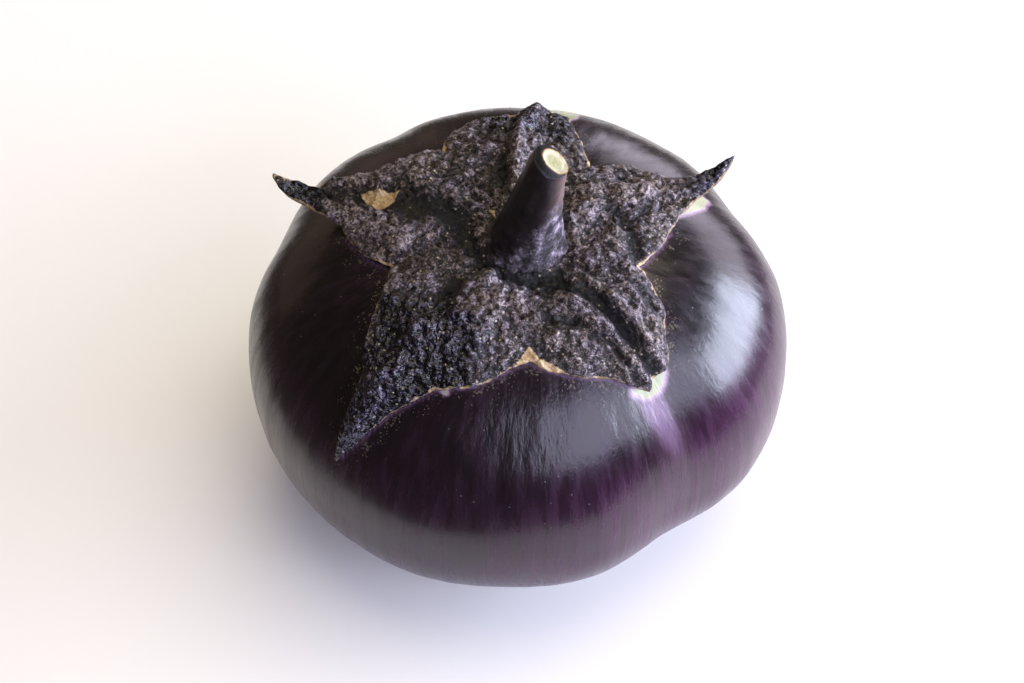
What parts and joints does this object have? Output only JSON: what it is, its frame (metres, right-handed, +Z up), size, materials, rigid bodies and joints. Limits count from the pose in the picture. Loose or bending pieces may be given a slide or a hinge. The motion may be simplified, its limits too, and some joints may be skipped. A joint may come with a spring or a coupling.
{
  "type": "eggplant",
  "caption": "Round glossy dark purple eggplant resting on its blossom end, capped by a dried lobed calyx with a short obliquely cut stem.",
  "frame": {"origin": "centre of the flat spot under the fruit that it rests on", "axes": "+Z up, +X toward the right side and -Y toward the front as seen in the picture; the fruit's own axis leans 5 degrees toward the front"},
  "size_m": [0.1199, 0.1103, 0.1121],
  "materials": {
    "skin": "semi-gloss waxy skin",
    "calyx": "dry felted",
    "stem": "dull, with a pale cut face"
  },
  "bodies": {
    "root": {"fruit": "skin", "calyx": "calyx", "stem": "stem"}
  },
  "joints": []
}
